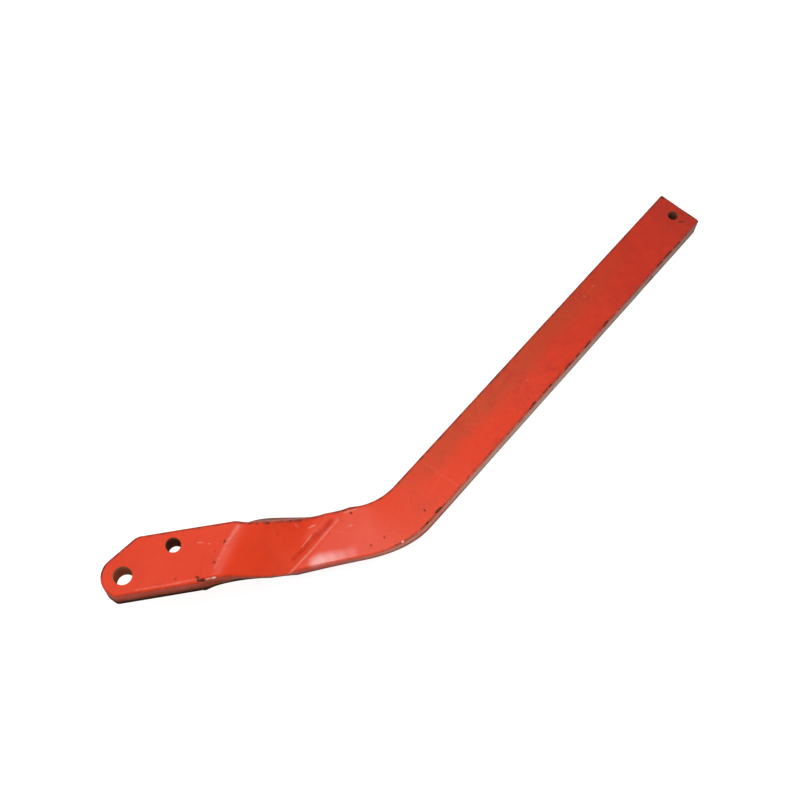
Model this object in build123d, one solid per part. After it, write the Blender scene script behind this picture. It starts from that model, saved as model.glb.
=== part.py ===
from build123d import *
import math
import os

# Tillage shank: one forged flat bar, bent on edge at the knee and joggled up to a raised foot.
# Millimetres. X runs along the foot towards the knee, Z is up, and Z = 0 is the underside that
# the bar lies on. The bar is laid out from the point where the centrelines of knee and shank
# cross, and then moved so that its origin lies on the shank's flat underside.

# Bar stock
bar_thickness = 30.0
shank_width = 60.0
knee_width = 63.0
foot_width = 65.0
rolled_corner = 2.5

# Edgewise bend at the knee, angles counted from the foot's own direction
knee_angle = 4.4
shank_angle = 39.3
bend_inner_radius = 80.0
bend_outer_radius = 140.0
shank_start_to_crossing = 46.0
shank_length = 575.0
crossing_to_origin = 100.0

# Joggle: the raised foot comes down to the knee over two folds that run slantwise across the bar
foot_rise = 40.0
foot_offset = 13.5
foot_end_to_crossing = 204.5
ridge_angle = 53.7
fall_length = 99.0
near_fall_delay = 10.5
far_fall_delay = 2.0
near_valley_to_bend = 87.0
far_valley_to_bend = 14.5

# What the forging leaves in the joggle: bowed edges, a ridge drawn narrow on top, a twisted knee
near_edge_bow = 2.2
far_edge_bow = 1.9
ridge_draw = 5.0
knee_lift = 4.5
knee_tuck = 1.6

# Foot outline
nose_radius = 24.2
nose_bevel_angle = 34.0
nose_near_angle = 45.0
bevel_corner_radius = 14.0
nose_corner_radius = 7.0

# Holes: the large one near the nose, the second one behind it, a small one at the far end
nose_hole_diameter = 21.0
nose_hole_to_crossing = 307.0
nose_hole_edge_distance = 22.5
second_hole_diameter = 17.0
second_hole_spacing = 58.0
second_hole_raise = 15.5
end_hole_diameter = 13.0
end_hole_edge_distance = 16.0
hole_edge_break = 0.5

# Where along the joggle and the bend the bar's section is set
joggle_stations = (0, 0.07, 0.15, 0.25, 0.37, 0.5, 0.63, 0.76, 0.88, 1)
knee_stations = (0.2, 0.4, 0.6, 0.8, 1)
bend_stations = (0.25, 0.5, 0.75, 1)
draw_rise_end = 0.13
draw_fall_start = 0.2
draw_fall_end = 0.82
tuck_start = 0.3

half_thickness = bar_thickness / 2
foot_underside = foot_rise
near_y = -foot_offset - foot_width / 2
far_y = -foot_offset + foot_width / 2
bend_angle = shank_angle - knee_angle


def plan_direction(angle):
    """Unit vector in the XY plane at an angle from +X, in degrees."""
    return Vector(math.cos(math.radians(angle)), math.sin(math.radians(angle)), 0)


def leg_point(angle, along, across):
    """Point on a leg that leaves the crossing at an angle: along it, and across to its left."""
    return plan_direction(angle) * along + plan_direction(angle + 90) * across


def line_crossing(start, direction, other_start, other_direction):
    """Point where two lines in the XY plane cross."""
    gap = other_start - start
    span = direction.X * other_direction.Y - direction.Y * other_direction.X
    reach = (gap.X * other_direction.Y - gap.Y * other_direction.X) / span
    return start + direction * reach


def smooth_step(share):
    """Rises smoothly from 0 to 1 while share goes from 0 to 1."""
    held = min(max(share, 0), 1)
    return held * held * (3 - 2 * held)


def filleted_corner(outline, corner, radius):
    """The outline with its vertex nearest to corner rounded."""
    vertex = outline.vertices().sort_by_distance(corner)[0]
    return fillet(vertex, radius)


def rounded_slab(outline, underside, open_faces):
    """Extrude an outline to a slab and round its long edges, apart from those on open faces."""
    slab = extrude(outline, amount=bar_thickness)
    slab = Pos(0, 0, underside) * slab
    rims = slab.edges().filter_by(lambda edge: abs(edge.tangent_at(0.5).Z) < 0.5)
    for spot in open_faces:
        rims = rims.filter_by(lambda edge: Vector(spot.X, spot.Y, edge.center().Z) != edge.center())
    return fillet(rims, rolled_corner)


def bend_edge(side, knee_half_width, shank_half_width, radius):
    """Start of the bend on one edge of the bar, and the centre of that edge's arc."""
    knee_line = plan_direction(knee_angle)
    knee_edge = leg_point(knee_angle, 0, side * knee_half_width)
    shank_edge = leg_point(shank_angle, 0, side * shank_half_width)
    corner = line_crossing(knee_edge, knee_line, shank_edge, plan_direction(shank_angle))
    start = corner - knee_line * (radius * math.tan(math.radians(bend_angle / 2)))
    return start, start + plan_direction(knee_angle + 90) * radius


near_bend_start, near_bend_centre = bend_edge(-1, knee_width / 2, shank_width / 2, bend_outer_radius)
far_bend_start, far_bend_centre = bend_edge(1, knee_width / 2, shank_width / 2, bend_inner_radius)
slant_run = foot_width / 2 / math.tan(math.radians(ridge_angle))
twist = math.asin(knee_lift / knee_width)


class BarEdge:
    """The middle of one side of the bar, from the foot to the start of the bend."""

    def __init__(self, start, fall_delay, valley_to_bend, bend_start, bow, lift):
        self.start = start
        self.fall_start = start.X + fall_delay
        self.valley = bend_start.X - valley_to_bend
        self.end = bend_start
        self.bow = bow
        self.low = half_thickness + lift
        self.high = foot_underside + half_thickness

    def at(self, x):
        """The edge's point at x: bowed in plan, and falling from the foot's level to the knee's."""
        run = (x - self.start.X) / (self.end.X - self.start.X)
        fall = smooth_step((x - self.fall_start) / fall_length)
        y = self.start.Y + (self.end.Y - self.start.Y) * run + 4 * self.bow * run * (1 - run)
        return Vector(x, y, self.high + (self.low - self.high) * fall)

    def direction(self, x):
        return (self.at(x + 0.01) - self.at(x - 0.01)).normalized()


def knee_inset(twist_left):
    """How far the near side's middle lies inside the flat bar's edge where the knee is twisted."""
    return half_thickness * math.sin(twist * twist_left) + knee_tuck * twist_left


near_side_end = near_bend_start + plan_direction(knee_angle + 90) * knee_inset(1)
near_edge = BarEdge(Vector(-foot_end_to_crossing - slant_run, near_y, 0), near_fall_delay,
                    near_valley_to_bend, near_side_end, near_edge_bow, 0)
far_edge = BarEdge(Vector(-foot_end_to_crossing + slant_run, far_y, 0), far_fall_delay,
                   far_valley_to_bend, far_bend_start, far_edge_bow, knee_lift)


def bar_section(near, far, near_path, far_path, draw, tuck):
    """The bar's section through the middles of its two sides.

    Draw moves the two top edges in and the two bottom edges out, and tuck moves the top towards
    the near side and the underside away from it.
    """
    across = (far - near).normalized()
    along = (near_path + far_path).normalized()
    normal = along.cross(across).normalized()
    # The bar's path cuts the section obliquely, so the rolled corners are stretched with it.
    stretch = 1 / math.sqrt(1 - along.dot(across) ** 2)
    half_width = (far - near).length / 2
    corners = [
        (-half_width + draw - tuck, half_thickness),
        (half_width - draw - tuck, half_thickness),
        (half_width + draw + tuck, -half_thickness),
        (-half_width - draw + tuck, -half_thickness),
    ]
    square_cut = make_face(Polyline(*[(x / stretch, y) for x, y in corners], close=True))
    square_cut = fillet(square_cut.vertices(), rolled_corner)
    plane = Plane(origin=(near + far) / 2, x_dir=across, z_dir=across.cross(normal))
    return plane * scale(square_cut, by=(stretch, 1, 1))


def joggle_section(share):
    """Section at a share of the way from the foot to the valley."""
    near_x = near_edge.start.X + (near_edge.valley - near_edge.start.X) * share
    far_x = far_edge.start.X + (far_edge.valley - far_edge.start.X) * share
    drawn_in = smooth_step(share / draw_rise_end)
    drawn_out = smooth_step((share - draw_fall_start) / (draw_fall_end - draw_fall_start))
    draw = ridge_draw * drawn_in * (1 - drawn_out)
    tuck = knee_tuck * smooth_step((share - tuck_start) / (1 - tuck_start))
    near_path = near_edge.direction(near_x)
    far_path = far_edge.direction(far_x)
    if share == 0:
        near_path = far_path = plan_direction(0)
    return bar_section(near_edge.at(near_x), far_edge.at(far_x), near_path, far_path, draw, tuck)


def knee_section(share):
    """Section at a share of the way from the valley to the start of the bend."""
    near_x = near_edge.valley + (near_edge.end.X - near_edge.valley) * share
    far_x = far_edge.valley + (far_edge.end.X - far_edge.valley) * share
    return bar_section(near_edge.at(near_x), far_edge.at(far_x), plan_direction(knee_angle),
                       plan_direction(knee_angle), 0, knee_tuck)


def bend_section(share):
    """Section at a share of the way round the bend, where the knee's twist runs out."""
    turned = knee_angle + bend_angle * share
    twist_left = 1 - smooth_step(share)
    outward = plan_direction(turned - 90)
    near = near_bend_centre + outward * (bend_outer_radius - knee_inset(twist_left))
    far = far_bend_centre + outward * bend_inner_radius
    near = near + Vector(0, 0, half_thickness)
    far = far + Vector(0, 0, half_thickness + knee_lift * twist_left)
    path = plan_direction(turned)
    return bar_section(near, far, path, path, 0, knee_tuck * twist_left)


def shank_start_section():
    """Square section where the straight shank begins, just past the bend."""
    height = Vector(0, 0, half_thickness)
    near = leg_point(shank_angle, shank_start_to_crossing, -shank_width / 2) + height
    far = leg_point(shank_angle, shank_start_to_crossing, shank_width / 2) + height
    path = plan_direction(shank_angle)
    return bar_section(near, far, path, path, 0, 0)


def joggle_knee_and_bend():
    """The bar from the foot to the end of the bend, lofted through its sections."""
    sections = [joggle_section(share) for share in joggle_stations]
    sections += [knee_section(share) for share in knee_stations]
    sections += [bend_section(share) for share in bend_stations]
    sections.append(shank_start_section())
    return loft(sections)


def nose_hole_centre():
    return Vector(-nose_hole_to_crossing, near_y + nose_hole_edge_distance, 0)


def second_hole_centre():
    return Vector(-nose_hole_to_crossing + second_hole_spacing, -foot_offset + second_hole_raise, 0)


def foot():
    """The raised flat foot, with its rounded nose about the large hole and its bevelled edge."""
    centre = nose_hole_centre()
    far_end = far_edge.start
    near_end = near_edge.start
    bevel_touch = centre + plan_direction(nose_bevel_angle + 90) * nose_radius
    bevel_line = plan_direction(nose_bevel_angle)
    bevel_corner = line_crossing(bevel_touch, bevel_line, far_end, Vector(1, 0, 0))
    near_touch = centre + plan_direction(270 - nose_near_angle) * nose_radius
    near_line = plan_direction(-nose_near_angle)
    near_corner = line_crossing(near_touch, near_line, near_end, Vector(1, 0, 0))
    tip = centre + plan_direction(180) * nose_radius
    rim = [
        Line(near_end, near_corner),
        Line(near_corner, near_touch),
        ThreePointArc(near_touch, tip, bevel_touch),
        Line(bevel_touch, bevel_corner),
        Line(bevel_corner, far_end),
        Line(far_end, near_end),
    ]
    outline = make_face(rim)
    outline = filleted_corner(outline, bevel_corner, bevel_corner_radius)
    outline = filleted_corner(outline, near_corner, nose_corner_radius)
    return rounded_slab(outline, foot_underside, [(far_end + near_end) / 2])


def shank():
    """The flat leg from just past the bend to the square-cut end."""
    near_start = leg_point(shank_angle, shank_start_to_crossing, -shank_width / 2)
    far_start = leg_point(shank_angle, shank_start_to_crossing, shank_width / 2)
    near_end = leg_point(shank_angle, shank_length, -shank_width / 2)
    far_end = leg_point(shank_angle, shank_length, shank_width / 2)
    outline = make_face(Polyline(near_start, near_end, far_end, far_start, close=True))
    return rounded_slab(outline, 0, [(near_start + far_start) / 2, (near_end + far_end) / 2])


def drilled(body, centre, underside, diameter):
    """The body with a hole through it from top to underside, its two rims broken."""
    depth = bar_thickness
    place = Pos(centre.X, centre.Y, underside + depth / 2)
    countersink = diameter / 2 + hole_edge_break
    drill = place * Cylinder(diameter / 2, depth + 2)
    lower = Pos(centre.X, centre.Y, underside) * Cone(countersink, diameter / 2, hole_edge_break,
                                                      align=(Align.CENTER, Align.CENTER, Align.MIN))
    upper = Pos(centre.X, centre.Y, underside + depth) * Cone(diameter / 2, countersink, hole_edge_break,
                                                              align=(Align.CENTER, Align.CENTER, Align.MAX))
    return body - (drill + lower + upper)


def shank_bar():
    """The whole one-piece bar."""
    end_hole_centre = leg_point(shank_angle, shank_length - end_hole_edge_distance, 0)
    body = foot() + joggle_knee_and_bend() + shank()
    body = drilled(body, nose_hole_centre(), foot_underside, nose_hole_diameter)
    body = drilled(body, second_hole_centre(), foot_underside, second_hole_diameter)
    body = drilled(body, end_hole_centre, 0, end_hole_diameter)
    origin = leg_point(shank_angle, crossing_to_origin, 0)
    return Pos(-origin.X, -origin.Y, 0) * body


os.makedirs("parts", exist_ok=True)
export_step(shank_bar(), "parts/shank_bar.step")
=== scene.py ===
import logging
import math
from dataclasses import dataclass, field
from enum import Enum
from functools import partial
from types import SimpleNamespace

import bmesh
import bpy
import numpy as np
from mathutils import Matrix, Vector
from mathutils.kdtree import KDTree

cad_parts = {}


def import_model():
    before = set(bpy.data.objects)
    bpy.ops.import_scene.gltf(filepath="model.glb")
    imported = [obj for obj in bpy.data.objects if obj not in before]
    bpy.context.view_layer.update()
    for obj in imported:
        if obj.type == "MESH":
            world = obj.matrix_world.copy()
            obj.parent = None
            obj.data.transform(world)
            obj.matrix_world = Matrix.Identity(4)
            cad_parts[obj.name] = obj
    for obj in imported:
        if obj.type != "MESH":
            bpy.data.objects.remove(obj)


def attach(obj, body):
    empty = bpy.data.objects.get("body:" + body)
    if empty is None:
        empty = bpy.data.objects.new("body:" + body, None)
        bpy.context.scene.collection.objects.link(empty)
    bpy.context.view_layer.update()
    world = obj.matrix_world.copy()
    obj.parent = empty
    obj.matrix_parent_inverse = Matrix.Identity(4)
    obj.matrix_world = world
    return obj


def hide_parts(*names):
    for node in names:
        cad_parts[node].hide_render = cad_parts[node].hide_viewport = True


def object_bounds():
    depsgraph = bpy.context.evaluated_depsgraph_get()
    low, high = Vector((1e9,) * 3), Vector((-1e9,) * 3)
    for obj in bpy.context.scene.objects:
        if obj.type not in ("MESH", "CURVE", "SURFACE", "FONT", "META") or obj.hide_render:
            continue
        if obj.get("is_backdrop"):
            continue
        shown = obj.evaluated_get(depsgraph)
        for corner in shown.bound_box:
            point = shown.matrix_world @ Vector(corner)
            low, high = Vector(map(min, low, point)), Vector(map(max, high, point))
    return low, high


LOG = logging.getLogger("tillage_shank")
MM = 0.001
PICTURE_WIDTH = 800
DOUBLES_APART = 1e-6
SMOOTHING = (1.0, 3.0, 5.0, 6.0, 5.0, 3.0, 1.0)
AXIS_PRIMES = (73856093, 19349663, 83492791)
SEED_PRIME = 2654435761
MIX_PRIME = 1274126177
MIX_MASK = 0x7FFFFFFF
HASH_VALUES = 65521
UP = np.array([0.0, 0.0, 1.0])
PLACE_FIELDS = ("rim", "line", "along", "across", "down", "side", "bore")
Array = np.ndarray
Rgb = tuple[float, float, float]
Tree = bpy.types.NodeTree
Node = bpy.types.Node
Socket = bpy.types.NodeSocket
Feed = Socket | float | Rgb
Outlets = dict[str, Socket]


# Small mathematics

def heading(degrees: Array | float) -> Array:
    """Unit vectors in the XY plane at angles from +X."""
    turn = np.radians(np.asarray(degrees, float))
    return np.stack([np.cos(turn), np.sin(turn), np.zeros_like(turn)], -1)


def unit(vectors: Array) -> Array:
    """The vectors, each divided by its own length."""
    return vectors / np.maximum(np.linalg.norm(vectors, axis=-1, keepdims=True), 1e-12)


def ease(share: Array | float) -> Array:
    """Rises from 0 to 1 as 3s^2 - 2s^3 while share s goes from 0 to 1, and is held outside."""
    held = np.clip(share, 0.0, 1.0)
    return held * held * (3.0 - 2.0 * held)


def lattice_noise(points: Array, cell: float, seed: int) -> Array:
    """Smooth noise from -1 to 1: random values on a cubic lattice, eased between its corners.

    Args:
        points: places, N by 3, in millimetres.
        cell: lattice spacing in millimetres.
        seed: chooses the random values.

    Returns:
        One value for each point.
    """
    grid = points / cell
    base = np.floor(grid).astype(np.int64)
    part = ease(grid - base)
    total = np.zeros(len(points))
    for corner in range(8):
        step = np.array([corner & 1, corner >> 1 & 1, corner >> 2 & 1])
        key = (base + step) @ np.array(AXIS_PRIMES) + seed * SEED_PRIME
        key = (key ^ key >> 13) * MIX_PRIME & MIX_MASK
        value = (key ^ key >> 16) % HASH_VALUES / (HASH_VALUES // 2) - 1.0
        weight = np.prod(np.where(step, part, 1.0 - part), axis=1)
        total += weight * value
    return total


def segment_distance(points: Array, start: Array, end: Array) -> Array:
    """Distance of each point from the straight piece between two places.

    Args:
        points: N by 3.
        start: one end of the piece.
        end: its other end.

    Returns:
        N distances.
    """
    span = end - start
    reach = np.clip((points - start) @ span / max(span @ span, 1e-9), 0.0, 1.0)
    return np.linalg.norm(points - start - reach[:, None] * span, axis=1)


def travelled(points: Array) -> Array:
    """Distance covered along a line up to each of its points."""
    return np.concatenate([[0.0], np.cumsum(np.linalg.norm(np.diff(points, axis=0), axis=1))])


# The bar

@dataclass(frozen=True)
class BarSizes:
    """The bar's own dimensions in millimetres and degrees, as the frame's solid has them."""

    thickness: float = 30.0
    shank_width: float = 60.0
    knee_width: float = 63.0
    foot_width: float = 65.0
    rolled_corner: float = 2.5
    knee_angle: float = 4.4
    shank_angle: float = 39.3
    inner_radius: float = 80.0
    outer_radius: float = 140.0
    shank_start: float = 46.0
    shank_length: float = 575.0
    crossing_to_origin: float = 100.0
    foot_rise: float = 40.0
    foot_offset: float = 13.5
    foot_end: float = 204.5
    ridge_angle: float = 53.7
    fall_length: float = 99.0
    near_fall_delay: float = 10.5
    far_fall_delay: float = 2.0
    near_valley_to_bend: float = 87.0
    far_valley_to_bend: float = 14.5
    near_bow: float = 2.2
    far_bow: float = 1.9
    ridge_draw: float = 5.0
    knee_lift: float = 4.5
    knee_tuck: float = 1.6
    nose_radius: float = 24.2
    nose_bevel_angle: float = 34.0
    nose_near_angle: float = 45.0
    bevel_corner_radius: float = 14.0
    nose_corner_radius: float = 7.0
    nose_centre: tuple[float, float] = (-307.0, -23.5)
    second_centre: tuple[float, float] = (-249.0, 2.0)
    bore_radii: tuple[float, float, float] = (10.5, 8.5, 6.5)
    end_hole_edge_distance: float = 16.0
    hole_edge_break: float = 0.5

    @property
    def half(self) -> float:
        """Half the bar's thickness."""
        return self.thickness / 2

    @property
    def bend_angle(self) -> float:
        """How far the bar turns on edge at the knee."""
        return self.shank_angle - self.knee_angle

    @property
    def shift(self) -> Array:
        """From the crossing of the centrelines to the frame's origin."""
        return heading(self.shank_angle) * self.crossing_to_origin

    @property
    def bores(self) -> list[tuple[tuple[float, float, float], float]]:
        """The three bores.

        Returns:
            The middle of each bore's lower rim, from the crossing, and its radius.
        """
        end = self.leg(self.shank_angle, self.shank_length - self.end_hole_edge_distance, 0)
        rims = ((*self.nose_centre, self.foot_rise), (*self.second_centre, self.foot_rise), tuple(end))
        return list(zip(rims, self.bore_radii))

    def leg(self, angle: float, along: float, across: float) -> Array:
        """A point along a leg that leaves the crossing at an angle, and across to its left."""
        return heading(angle) * along + heading(angle + 90) * across

    def bend_edge(self, side: int, radius: float) -> tuple[Array, Array]:
        """Where one edge starts to bend, and the centre of its arc.

        Args:
            side: -1 for the near edge, 1 for the far one.
            radius: the edge's bend radius.

        Returns:
            The start point and the centre.
        """
        knee = self.leg(self.knee_angle, 0, side * self.knee_width / 2)
        gap = self.leg(self.shank_angle, 0, side * self.shank_width / 2) - knee
        first, second = heading(self.knee_angle), heading(self.shank_angle)
        turned = first[0] * second[1] - first[1] * second[0]
        reach = (gap[0] * second[1] - gap[1] * second[0]) / turned
        start = knee + first * (reach - radius * math.tan(math.radians(self.bend_angle / 2)))
        return start, start + heading(self.knee_angle + 90) * radius


@dataclass
class EdgeLine:
    """The middle of one side of the joggle, bowed in plan and falling from foot to knee."""

    start: Array
    end: Array
    delay: float
    to_bend: float
    bow: float
    low: float
    high: float
    fall_length: float

    @property
    def valley(self) -> float:
        """Where the slanting sections end on this side."""
        return float(self.end[0]) - self.to_bend

    def at(self, x: Array) -> Array:
        """Points of the line: y = straight line + bow * 4u(1-u), z = high eased down to low.

        Args:
            x: where along X.

        Returns:
            One point for each x.
        """
        run = (x - self.start[0]) / (self.end[0] - self.start[0])
        y = self.start[1] + (self.end[1] - self.start[1]) * run + 4 * self.bow * run * (1 - run)
        fall = ease((x - self.start[0] - self.delay) / self.fall_length)
        return np.stack([x, y, self.high + (self.low - self.high) * fall], -1)

    def path(self, x: Array, nudge: float = 0.01) -> Array:
        """Unit directions of the line at x."""
        return unit(self.at(x + nudge) - self.at(x - nudge))


@dataclass
class Rows:
    """Rows across the bar: the middles of both sides, both directions of travel, draw and tuck."""

    near: Array
    far: Array
    near_path: Array
    far_path: Array
    draw: Array
    tuck: Array

    @staticmethod
    def joined(parts: list["Rows"]) -> "Rows":
        """All rows one after the other."""
        names = ("near", "far", "near_path", "far_path", "draw", "tuck")
        return Rows(*[np.concatenate([getattr(part, name) for part in parts]) for name in names])


@dataclass
class BarForm:
    """Works out the bar's skin as a grid: rows along the bar, columns round its section."""

    sizes: BarSizes = field(default_factory=BarSizes)
    foot_rows: int = 140
    nose_steps: int = 60
    nose_corner_steps: int = 40
    edge_steps: int = 80
    tip_bias: float = 1.25
    joggle_rows: int = 125
    knee_rows: int = 75
    bend_rows: int = 80
    joint_rows: int = 8
    shank_rows: int = 430
    top_steps: int = 52
    low_steps: int = 18
    side_steps: int = 10
    corner_steps: int = 5
    cap_rings: int = 10
    eased_before: int = 4
    draw_rises_over: float = 0.13
    draw_falls_from: float = 0.2
    draw_falls_over: float = 0.62
    tuck_from: float = 0.3
    tuck_over: float = 0.7
    worn_cut: float = 0.5
    paint_over: float = 0.42
    paint_over_depth: float = 0.4
    low_corner_paint: float = 0.2

    def __post_init__(self) -> None:
        """Sets out the bend and the two side lines of the joggle."""
        sizes = self.sizes
        self.near_bend, self.near_centre = sizes.bend_edge(-1, sizes.outer_radius)
        self.far_bend, self.far_centre = sizes.bend_edge(1, sizes.inner_radius)
        self.twist = math.asin(sizes.knee_lift / sizes.knee_width)
        slant = sizes.foot_width / 2 / math.tan(math.radians(sizes.ridge_angle))
        top = sizes.foot_rise + sizes.half
        near_end = self.near_bend + heading(sizes.knee_angle + 90) * self.inset(1.0)
        near_start = np.array([-sizes.foot_end - slant, -sizes.foot_offset - sizes.foot_width / 2, top])
        far_start = np.array([-sizes.foot_end + slant, -sizes.foot_offset + sizes.foot_width / 2, top])
        self.near_line = EdgeLine(near_start, near_end, sizes.near_fall_delay, sizes.near_valley_to_bend,
                                  sizes.near_bow, sizes.half, top, sizes.fall_length)
        self.far_line = EdgeLine(far_start, self.far_bend, sizes.far_fall_delay, sizes.far_valley_to_bend,
                                 sizes.far_bow, sizes.half + sizes.knee_lift, top, sizes.fall_length)

    def inset(self, twist_left: Array | float) -> Array:
        """How far the near side's middle lies inside the flat bar's edge."""
        sizes = self.sizes
        return sizes.half * np.sin(self.twist * twist_left) + sizes.knee_tuck * twist_left

    def nose_rail(self, side: int) -> tuple[Array, Array]:
        """One edge of the foot, from the tip of the nose, with its outward directions.

        The line is an arc of the nose, a straight piece, a corner arc and the foot's long edge.

        Args:
            side: -1 for the near edge, 1 for the far one.

        Returns:
            Points, closer together at the tip, and outward unit vectors.
        """
        sizes, near = self.sizes, side < 0
        line = self.near_line.start if near else self.far_line.start
        turn = sizes.nose_near_angle if near else sizes.nose_bevel_angle
        leave = 180 + turn if near else 90 + turn
        corner = sizes.nose_corner_radius if near else sizes.bevel_corner_radius
        share = np.linspace(0, 1, self.edge_steps)[1:, None]
        angles = np.linspace(180, leave, self.nose_steps)
        points = [np.array([*sizes.nose_centre, 0.0]) + heading(angles) * sizes.nose_radius]
        outward = [heading(angles)]
        touch, slope = points[0][-1], heading(leave - 90 * side)
        reach = (line[1] - touch[1]) / slope[1] - corner * math.tan(math.radians(turn / 2))
        points.append(touch + slope * reach * share)
        outward.append(np.repeat(heading(leave)[None], len(share), 0))
        arc_centre = points[-1][-1] - heading(leave) * corner
        angles = np.linspace(leave, 180 - 90 * side, self.nose_corner_steps)[1:]
        points.append(arc_centre + heading(angles) * corner)
        outward.append(heading(angles))
        points.append(points[-1][-1] + (line * [1, 1, 0] - points[-1][-1]) * share)
        outward.append(np.repeat(np.array([[0.0, side, 0.0]]), len(share), 0))
        run = travelled(np.concatenate(points))
        spots = run[-1] * np.linspace(0, 1, self.foot_rows) ** self.tip_bias
        rail, out = (np.stack([np.interp(spots, run, column) for column in np.concatenate(values).T], -1)
                     for values in (points, outward))
        return rail + UP * (sizes.foot_rise + sizes.half), unit(out)

    def foot(self) -> Rows:
        """Rows from the tip of the nose to the ridge.

        Returns:
            The rows.
        """
        (near, near_out), (far, far_out) = self.nose_rail(-1), self.nose_rail(1)
        none = np.zeros(self.foot_rows)
        return Rows(near, far, np.cross(UP, near_out), np.cross(far_out, UP), none, none)

    def joggle(self) -> Rows:
        """Slanting rows from the ridge to the valley, drawn narrow on top near the ridge.

        Returns:
            The rows.
        """
        sizes = self.sizes
        share = np.linspace(0, 1, self.joggle_rows + 1)[1:]
        near_x, far_x = (line.start[0] + (line.valley - line.start[0]) * share
                         for line in (self.near_line, self.far_line))
        fall = ease((share - self.draw_falls_from) / self.draw_falls_over)
        draw = sizes.ridge_draw * ease(share / self.draw_rises_over) * (1 - fall)
        tuck = sizes.knee_tuck * ease((share - self.tuck_from) / self.tuck_over)
        return Rows(self.near_line.at(near_x), self.far_line.at(far_x), self.near_line.path(near_x),
                    self.far_line.path(far_x), draw, tuck)

    def knee(self) -> Rows:
        """Rows that fan out from the slanting valley to the square start of the bend.

        Returns:
            The rows.
        """
        sizes = self.sizes
        share = np.linspace(0, 1, self.knee_rows + 1)[1:]
        near, far = (line.at(line.valley + (line.end[0] - line.valley) * share)
                     for line in (self.near_line, self.far_line))
        path = np.repeat(heading(sizes.knee_angle)[None], len(share), 0)
        return Rows(near, far, path, path, 0 * share, sizes.knee_tuck + 0 * share)

    def bend(self) -> Rows:
        """Rows round the bend: two arcs, on which the knee's twist runs out.

        Returns:
            The rows.
        """
        sizes = self.sizes
        share = np.linspace(0, 1, self.bend_rows + 1)[1:]
        left = 1 - ease(share)
        turned = sizes.knee_angle + sizes.bend_angle * share
        outward = heading(turned - 90)
        near_reach = sizes.outer_radius - self.inset(left)
        far_height = sizes.half + sizes.knee_lift * left
        near = self.near_centre + outward * near_reach[:, None] + UP * sizes.half
        far = self.far_centre + outward * sizes.inner_radius + UP * far_height[:, None]
        return Rows(near, far, heading(turned), heading(turned), 0 * share, sizes.knee_tuck * left)

    def shank(self, last: Rows) -> Rows:
        """Rows along the straight shank, from the end of the bend to the cut end.

        Args:
            last: the rows of the bend.

        Returns:
            The shank's rows.
        """
        sizes = self.sizes
        joint = np.linspace(0, 1, self.joint_rows + 1)[1:, None]
        along = np.linspace(0, 1, self.shank_rows + 1)[1:, None]
        sides = []
        for side, start in ((-1, last.near[-1]), (1, last.far[-1])):
            first, end = (sizes.leg(sizes.shank_angle, reach, side * sizes.shank_width / 2) + UP * sizes.half
                          for reach in (sizes.shank_start, sizes.shank_length))
            sides.append(np.concatenate([start + (first - start) * joint, first + (end - first) * along]))
        path = np.repeat(heading(sizes.shank_angle)[None], len(sides[0]), 0)
        none = np.zeros(len(path))
        return Rows(sides[0], sides[1], path, path, none, none)

    def rows(self) -> Rows:
        """All rows from the nose to the cut end."""
        bend = self.bend()
        return Rows.joined([self.foot(), self.joggle(), self.knee(), bend, self.shank(bend)])

    def skin(self) -> tuple[Array, dict[str, Array]]:
        """The skin as a grid of points, rows by columns by 3, and its four corner lines.

        In each row the four corners of the section stand half a thickness above and below the
        sides' middles, moved across by draw and tuck. A rolled corner goes from the flat face,
        one radius in, to the side, one radius down: corner - out * r(1 - sin a) + down * r(1 - cos a).

        Returns:
            The grid in millimetres from the crossing, and the corner lines by name.
        """
        sizes, rows = self.sizes, self.rows()
        apart = rows.far - rows.near
        is_wide = np.linalg.norm(apart, axis=1, keepdims=True) > 1e-6
        across = unit(np.where(is_wide, apart, [0.0, 1.0, 0.0]))
        up = unit(np.cross(rows.near_path + rows.far_path, across))
        up[:self.foot_rows] = UP
        near_out = unit(np.cross(rows.near_path, up))
        far_out = unit(np.cross(up, rows.far_path))
        inward, tuck = rows.draw[:, None] * across, rows.tuck[:, None] * across
        rise = up * sizes.half
        lines = {
            "near_top": rows.near + rise + inward - tuck, "far_top": rows.far + rise - inward - tuck,
            "far_low": rows.far - rise + inward + tuck, "near_low": rows.near - rise - inward + tuck}
        bend_end = self.foot_rows + self.joggle_rows + self.knee_rows + self.bend_rows
        span = slice(self.foot_rows - self.eased_before, bend_end)
        lines = {name: self.eased_line(line, span) for name, line in lines.items()}
        near_down = unit(lines["near_low"] - lines["near_top"])
        far_down = unit(lines["far_low"] - lines["far_top"])
        arc = np.radians(np.linspace(0, 90, self.corner_steps + 1))[None, :, None]

        def rolled(corner: Array, first: Array, second: Array) -> Array:
            """Rows of arc points from one radius along first to one radius along second."""
            return (corner[:, None] + first[:, None] * sizes.rolled_corner * (1 - np.sin(arc))
                    + second[:, None] * sizes.rolled_corner * (1 - np.cos(arc)))

        def straight(start: Array, end: Array, steps: int) -> Array:
            """Rows of evenly stepped points strictly between start and end."""
            share = np.linspace(0, 1, steps + 1)[None, 1:-1, None]
            return start[:, None] * (1 - share) + end[:, None] * share

        corners = [
            rolled(lines["near_top"], near_down, -near_out),
            rolled(lines["far_top"], -far_out, far_down),
            rolled(lines["far_low"], -far_down, -far_out),
            rolled(lines["near_low"], -near_out, -near_down)]
        steps = (self.top_steps, self.side_steps, self.low_steps, self.side_steps)
        parts = []
        for corner, following, count in zip(corners, corners[1:] + corners[:1], steps):
            parts += [corner, straight(corner[:, -1], following[:, 0], count)]
        return self.capped(np.concatenate(parts, axis=1)), lines

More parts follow.
